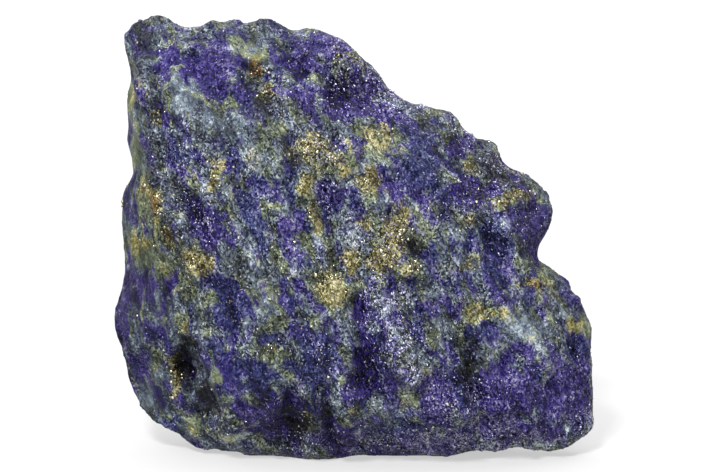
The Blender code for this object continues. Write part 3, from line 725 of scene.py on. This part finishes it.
def makeRock():
    material, tree, shader = newMaterial("lapis lazuli, freshly broken")
    coordinates = addNode(tree, "TexCoord")["Object"]
    place = addNode(tree, "VectorMath", {0: coordinates, "Scale": 1 / mm}, operation="SCALE")[0]
    drawn = drawnOut(tree, place, rockSet["patchStretch"])
    patchPlace = strayed(tree, drawn, drawn, **rockSet["patchStray"])
    drawn = drawnOut(tree, place, rockSet["grainStretch"])
    grainPlace = strayed(tree, place, drawn, **rockSet["grainStray"])
    streakPlace = drawnOut(tree, place, rockSet["streakStretch"])

    textures, fields = {}, {}
    for name, kind, where, detail in (
        ("grain", "TexVoronoi", grainPlace, {}),
        ("speck", "TexVoronoi", grainPlace, {}),
        ("patch", "TexNoise", patchPlace, rockSet["patchDetail"]),
        ("blotch", "TexNoise", patchPlace, rockSet["patchDetail"]),
        ("streak", "TexNoise", streakPlace, rockSet["streakDetail"]),
    ):
        textures[name] = addNode(tree, kind, {"Vector": where, "Scale": 1 / rockSet[name], **detail})
        channels = addNode(tree, "SeparateColor", {0: textures[name]["Color"]})
        for channel in channels:
            fields[name + channel.name] = channel
    fields["clot"] = textures["patch"]["Fac"]
    fields["fromMiddle"] = textures["grain"]["Distance"]
    for name in [*zones, "hollow"]:
        fields[name] = addNode(tree, "Attribute", attribute_name=name)["Fac"]
    for name, operation, first, second in (
        ("lazurite", "MAXIMUM", fields["violet"], fields["blue"]),
        ("goldHalo", "POWER", fields["gold"], rockSet["goldHaloPower"]),
        ("sageLight", "MULTIPLY", fields["sage"], rockSet["sageLight"]),
    ):
        fields[name] = addNode(tree, "Math", {0: first, 1: second}, operation=operation)[0]
    both = {0: fields["pale"], 1: fields["sageLight"]}
    fields["light"] = addNode(tree, "Math", both, operation="MAXIMUM")[0]
    for name, parts in rockSums.items():
        fields[name] = addSum(tree, fields, **parts)

    colors = {"sugar": linearColor(rockSet["sugar"])}
    for name, ramp in rockSet["colors"].items():
        colors[name] = addNode(tree, "ValToRGB", {"Fac": fields["lightness"]}, ramp)["Color"]
    for name, below, above, share in rockSet["layers"]:
        both = {0: fields[share], 6: colors[below], 7: colors[above]}
        colors[name] = addNode(tree, "Mix", both, data_type="RGBA")[2]

    # Each grain is turned its own way.
    both = {0: rockSet["speckTurn"], 6: textures["grain"]["Color"], 7: textures["speck"]["Color"]}
    turned = addNode(tree, "Mix", both, data_type="RGBA")[2]
    turn = rockSet["turn"]
    for operation, numbers in (
        ("MULTIPLY_ADD", {1: (2 * turn,) * 3, 2: (-turn,) * 3}),
        ("SCALE", {"Scale": fields["crisp"]}),
        ("ADD", {1: addNode(tree, "NewGeometry")["Normal"]}),
        ("NORMALIZE", {}),
    ):
        turned = addNode(tree, "VectorMath", {0: turned, **numbers}, operation=operation)[0]
    relief = {"Distance": rockSet["relief"] * mm, "Height": fields["height"], "Normal": turned}
    bump = addNode(tree, "Bump", relief)[0]
    (low, high), (dull, shiny) = rockSet["gloss"], rockSet["roughness"]
    gloss = {0: fields["glossy"], 1: low, 2: high, 3: dull, 4: shiny}
    roughness = addNode(tree, "MapRange", gloss)[0]
    setInputs(tree, shader, {
        "Base Color": colors["rock"], "Roughness": roughness, "Normal": bump,
        "IOR": rockSet["refraction"], "Specular IOR Level": rockSet["specular"],
    })
    return material


stone.data.materials.append(makeRock())
print("rock material is made")


# Small crystals: a few base shapes, copied by the hundred into one mesh of each kind.

def brokenBlock(size, cuts, sides=0):  # a block or spike with broken corners, as triangles
    deselectAll()
    if sides:
        bpy.ops.mesh.primitive_cone_add(vertices=sides, radius1=0.6, depth=1)
    else:
        bpy.ops.mesh.primitive_cube_add(size=1)
    item = bpy.context.object
    item.scale = size
    bpy.ops.object.transform_apply(location=False, rotation=False, scale=True)
    bpy.ops.object.mode_set(mode="EDIT")
    for place, way in cuts:
        bpy.ops.mesh.select_all(action="SELECT")
        bpy.ops.mesh.bisect(plane_co=place, plane_no=way, use_fill=True, clear_outer=True)
    bpy.ops.mesh.select_all(action="SELECT")
    bpy.ops.mesh.quads_convert_to_tris()
    bpy.ops.mesh.normals_make_consistent(inside=False)
    bpy.ops.object.mode_set(mode="OBJECT")
    mesh = item.data
    points = np.array([corner.co for corner in mesh.vertices])
    faces = []
    for face in mesh.polygons:  # the fills of the cuts can have more than four sides
        corners = list(face.vertices)
        faces += [(corners[0], corners[i], corners[i + 1]) for i in range(1, len(corners) - 1)]
    bpy.data.objects.remove(item)
    bpy.data.meshes.remove(mesh)
    return points, np.array(faces)


def scattered(points, triangles, density, draw):
    # Random places on the surface, density of them to each square millimetre.
    corners = points[triangles]
    across = np.cross(corners[:, 1] - corners[:, 0], corners[:, 2] - corners[:, 0])
    doubled = np.linalg.norm(across, axis=1)
    counts = draw.poisson(doubled / 2 * density[triangles].mean(axis=1))
    chosen = np.repeat(np.arange(len(triangles)), counts)
    shares = draw.dirichlet((1, 1, 1), len(chosen))
    places = (corners[chosen] * shares[:, :, None]).sum(axis=1)
    return places, across[chosen] / doubled[chosen, None], triangles[chosen]


def turnedAxes(ups, lean, draw, lengthwise=None, spread=0.45):
    # Three axes for each crystal: the third leans away from the surface's own direction.
    up = ups + draw.normal(0, lean, ups.shape)
    up /= np.linalg.norm(up, axis=1)[:, None]
    side = draw.normal(0, 1, ups.shape)
    if lengthwise is not None:
        side = side * spread + np.array(lengthwise)
    side -= up * (side * up).sum(axis=1)[:, None]
    side /= np.linalg.norm(side, axis=1)[:, None]
    return np.stack([side, np.cross(up, side), up], axis=2)


def joinedCopies(name, shapes, places, axes, sizes, tones, draw):
    # Every copy gets a square of its own on the map.
    mapFill = 0.8  # how much of its square a copy spans
    kinds = draw.integers(0, len(shapes), len(places))
    squares = math.ceil(math.sqrt(len(places)))
    allPoints, allFaces, allTones, allMaps = [], [], [], []
    count = 0
    for kind, (points, faces) in enumerate(shapes):
        mine = np.flatnonzero(kinds == kind)
        moved = np.einsum("nij,vj->nvi", axes[mine] * sizes[mine][:, None, None], points)
        moved += places[mine][:, None, :]
        steps = count + np.arange(len(mine)) * len(points)
        allPoints.append(moved.reshape(-1, 3))
        allFaces.append((faces[None] + steps[:, None, None]).reshape(-1, 3))
        allTones.append(np.repeat(tones[mine], len(points)))
        corner = np.stack([mine % squares, mine // squares], axis=1) + 0.5
        onMap = (corner[:, None, :] + points[None, :, :2] * mapFill) / squares
        allMaps.append(onMap.reshape(-1, 2))
        count += len(mine) * len(points)
    points, faces = np.concatenate(allPoints), np.concatenate(allFaces)
    mesh = bpy.data.meshes.new(name)
    mesh.from_pydata((points * mm).tolist(), [], faces.tolist(), shade_flat=False)
    layer = mesh.uv_layers.new(name="OFBake")
    layer.data.foreach_set("uv", np.concatenate(allMaps)[faces.ravel()].astype(np.float32).ravel())
    writeAttribute(mesh, "tone", np.concatenate(allTones))
    item = bpy.data.objects.new(name, mesh)
    bpy.context.scene.collection.objects.link(item)
    print(name + ":", len(places), "crystals,", len(faces), "triangles")
    return item


def crystalShade(tree, place, settings):  # each crystal's own tone, mottled
    scale = 1 / (settings["mottleSize"] * mm)
    texture = {"Vector": place, "Scale": scale, "Detail": settings["detail"]}
    fields = dict(
        tone=addNode(tree, "Attribute", attribute_name="tone")["Fac"],
        mottling=addNode(tree, "TexNoise", texture)["Fac"],
    )
    mottle = settings["mottle"]
    return addSum(tree, fields, start=-mottle / 2, tone=1.0, mottling=mottle)


brokenPoints, brokenNormals = pointsAndNormals(stone.data)
stone.data.calc_loop_triangles()
brokenTriangles = meshNumbers(stone.data.loop_triangles, "vertices", np.int32)


# Pyrite: small brassy cubes and broken bits, in clusters and here and there alone.

pyriteSet = dict(
    seed=7,
    alone=0.04,  # for each square millimetre
    clustered=16.0,
    clusterSize=1.1,
    clusterSeed=51,
    clusterEdge=(-0.25, 0.3),
    clusterPower=1.5,  # above 1 they crowd towards the middle of their zone
    missingWhenWorn=0.7,
    missingInRust=0.5,
    lowest=1.0,  # none lower than this
    block=(1, 0.92, 0.8),
    size=(0.1, 0.46),  # the smallest and the largest
    sizePower=2.4,  # above 1 most are small
    lean=0.8,
    sunk=(-0.35, 0.08),  # how far they stand out, in sizes
    spotReach=5,  # single grains pick among this many points each
    spotFacing=0.1,  # that face the front by this or more
    colors=["#28241a", "#665f44", "#a29b7c", "#e6e0c8"],
    roughness=(0.5, 0.24),
    mottleSize=0.25,
    mottle=0.9,
    detail=2.0,
    lineSize=0.6,
    lineHeight=0.02,
    spots=[  # u, v, how many, of single grains and small groups
        (-19.6, 61.5, 5), (-26.3, 59.5, 4), (-31.9, 59.5, 4), (-30.3, 51.6, 3), (-29, 48.4, 9),
        (-28.9, 47.6, 6), (-16.6, 55.6, 2), (-17, 53.1, 3), (-11.1, 54, 4), (-12.4, 52.2, 6),
        (-13.4, 51.4, 4), (-21.2, 42.8, 3), (-20.1, 40.1, 6), (-22.8, 40, 3), (-23.4, 37.7, 4),
        (-21.5, 36.7, 5), (-19, 38, 4), (-27.6, 38.4, 4), (-28.6, 35, 6), (-11.5, 16.1, 6),
        (-17.9, 21.4, 2), (-25.5, 16, 4), (-16.3, 10.3, 2), (-21.2, 5.4, 5), (-15.3, 3.9, 6),
        (-22.5, 1.9, 4), (-28.8, 5.4, 3), (-2.6, 57, 5), (-1.9, 55.1, 5), (0.7, 57, 3), (-7.1, 46.8, 3),
        (20.4, 42.7, 4), (15.7, 26.8, 4), (17.3, 28.3, 3), (23.7, 33.3, 3), (32.7, 14.2, 3), (16.7, 9.6, 3),
        (-1.2, 4.3, 4), (-27.5, 14.1, 2), (-26, 8.7, 6), (-30.2, 20.4, 2), (-31.6, 19.4, 2), (-31, 17.9, 2),
        (7.5, 18.8, 5), (-14.6, 45, 4), (29, 22.5, 4), (26.4, 24.4, 5), (21.2, 22.3, 4), (-6, 13, 1),
        (-2.5, 12.2, 3), (11.9, 3.7, 2), (2.2, 33.8, 8),
    ],
)
pyriteCuts = [
    [((0.3, 0.3, 0.3), (1, 1, 0.8))],
    [((0.2, -0.2, 0.35), (1, -0.7, 1)), ((-0.35, 0.3, 0.1), (-1, 1, 0.3))],
    [((0.0, 0.3, 0.2), (0.2, 1, 0.7)), ((-0.3, -0.2, 0.3), (-1, -0.4, 1)),
     ((0.36, 0, -0.1), (1, 0.3, -0.4))],
]


def makePyriteMaterial():
    # Brass-coloured sulphide with bright growth faces, some tarnished brown.
    material, tree, shader = newMaterial("pyrite, bright growth faces")
    place = addNode(tree, "TexCoord")["Object"]
    shade = crystalShade(tree, place, pyriteSet)
    color = addNode(tree, "ValToRGB", {"Fac": shade}, pyriteSet["colors"])["Color"]
    dull, shiny = pyriteSet["roughness"]
    roughness = addNode(tree, "MapRange", {0: shade, 3: dull, 4: shiny})[0]
    # Fine growth lines on the faces, drawn a little coarser than the real ones.
    scale = 1 / (pyriteSet["lineSize"] * mm)
    wave = {"Vector": place, "Scale": scale, "Distortion": 3.0, "Detail": 1.0}
    lines = addNode(tree, "TexWave", wave)["Fac"]
    depth = pyriteSet["lineHeight"] * mm
    bump = addNode(tree, "Bump", {"Strength": 0.25, "Distance": depth, "Height": lines})[0]
    setInputs(tree, shader, {
        "Base Color": color, "Roughness": roughness, "Normal": bump, "Metallic": 1.0,
    })
    return material


def makePyrite():
    draw = np.random.default_rng(pyriteSet["seed"])
    clusters = cloud(brokenPoints, pyriteSet["clusterSize"], pyriteSet["clusterSeed"])
    clusters = eased(clusters, *pyriteSet["clusterEdge"])
    density = stoneZones["gold"] ** pyriteSet["clusterPower"] * clusters
    density = pyriteSet["alone"] + pyriteSet["clustered"] * density
    density *= (1 - pyriteSet["missingWhenWorn"] * stoneZones["smooth"]) * (
        1 - pyriteSet["missingInRust"] * stoneZones["rust"]
    )
    density *= brokenPoints[:, 2] > pyriteSet["lowest"]
    places, ups, _ = scattered(brokenPoints, brokenTriangles, density, draw)
    u, v = seenFromFront(brokenPoints)
    front = brokenNormals @ np.array(cameraBack()) > pyriteSet["spotFacing"]
    single = []
    for spotU, spotV, number in pyriteSet["spots"]:
        gap = np.where(front, np.hypot(u - spotU, v - spotV), np.inf)
        near = np.argsort(gap)[: number * pyriteSet["spotReach"]]
        single += list(draw.choice(near, number, replace=False))
    places = np.concatenate([places, brokenPoints[single]])
    ups = np.concatenate([ups, brokenNormals[single]])
    small, large = pyriteSet["size"]
    sizes = small + (large - small) * draw.random(len(places)) ** pyriteSet["sizePower"]
    axes = turnedAxes(ups, pyriteSet["lean"], draw)
    tones = draw.random(len(places))
    places = places + ups * (sizes * draw.uniform(*pyriteSet["sunk"], len(places)))[:, None]
    shapes = [brokenBlock(pyriteSet["block"], cuts) for cuts in pyriteCuts]
    grains = joinedCopies("pyriteGrains", shapes, places, axes, sizes, tones, draw)
    grains.data.materials.append(makePyriteMaterial())
    return grains


# Pale crystals: slivers of calcite and cleaved lazurite that catch the light as the sugar
# of the broken rock.

paleSet = dict(
    seed=19,
    everywhere=0.95,  # for each square millimetre
    patchSize=1.6,
    patchSeed=61,
    patchEdge=(-0.4, 0.4),
    glinting=14.0,
    clumpSize=1.3,
    clumpSeed=62,
    clumpEdge=(-0.1, 0.3),
    missing=0.8,  # this share of them, where the rock is worn or milky
    lowest=0.45,
    spike=(1, 0.55, 0.6),
    size=(0.12, 0.42),
    sizePower=2,
    lean=0.5,
    glintGain=0.6,  # how much larger they are where the rock glints
    tonePower=(1.4, 0.5),  # below 1 most are light: everywhere, and where the rock glints, where the light tones are painted glints
    colors=["#1c1650", "#56538a", "#9592b4", "#dad8e6"],
    roughness=0.28,
    refraction=1.5,
    mottleSize=0.2,
    mottle=0.5,
    detail=1.0,
)
paleCuts = [
    [((0.1, 0, 0.12), (0.5, 0.2, 1))],
    [((-0.1, 0.05, 0.1), (-0.8, 0.6, 1))],
    [((0.15, -0.05, 0.0), (1, -0.5, 0.4))],
]


def makePaleMaterial():
    # Glassy cleavage faces of a white to lilac mineral. Their lightest tones are partly the mineral's own
    # and partly painted glints.
    material, tree, shader = newMaterial("calcite and lazurite slivers, cleaved")
    place = addNode(tree, "TexCoord")["Object"]
    shade = crystalShade(tree, place, paleSet)
    color = addNode(tree, "ValToRGB", {"Fac": shade}, paleSet["colors"])["Color"]
    setInputs(tree, shader, {
        "Base Color": color, "Roughness": paleSet["roughness"], "IOR": paleSet["refraction"],
    })
    return material


def makePaleCrystals():
    draw = np.random.default_rng(paleSet["seed"])
    patches = cloud(brokenPoints, paleSet["patchSize"], paleSet["patchSeed"])
    patches = eased(patches, *paleSet["patchEdge"])
    clumps = cloud(brokenPoints, paleSet["clumpSize"], paleSet["clumpSeed"])
    clumps = eased(clumps, *paleSet["clumpEdge"])
    density = paleSet["everywhere"] * patches + paleSet["glinting"] * stoneZones["glint"] * clumps
    for name in ("smooth", "calm"):
        density *= 1 - paleSet["missing"] * stoneZones[name]
    density *= brokenPoints[:, 2] > paleSet["lowest"]
    places, ups, chosen = scattered(brokenPoints, brokenTriangles, density, draw)
    small, large = paleSet["size"]
    sizes = small + (large - small) * draw.random(len(places)) ** paleSet["sizePower"]
    axes = turnedAxes(ups, paleSet["lean"], draw, Vector(stoneSet["banding"]).normalized())
    glint = stoneZones["glint"][chosen].mean(axis=1)
    sizes *= 1 + paleSet["glintGain"] * glint
    # Painted glints: where the rock glints, the slivers are lighter.
    power, glintPower = paleSet["tonePower"]
    tones = draw.random(len(places)) ** (power + (glintPower - power) * glint)
    shapes = [brokenBlock(paleSet["spike"], cuts, sides=4) for cuts in paleCuts]
    slivers = joinedCopies("paleCrystals", shapes, places, axes, sizes, tones, draw)
    slivers.data.materials.append(makePaleMaterial())
    return slivers


pyrite = makePyrite()
paleCrystals = makePaleCrystals()


for piece in (pyrite, paleCrystals):
    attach(piece, "root")
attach(stone, "root")
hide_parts("lazurite_stone")
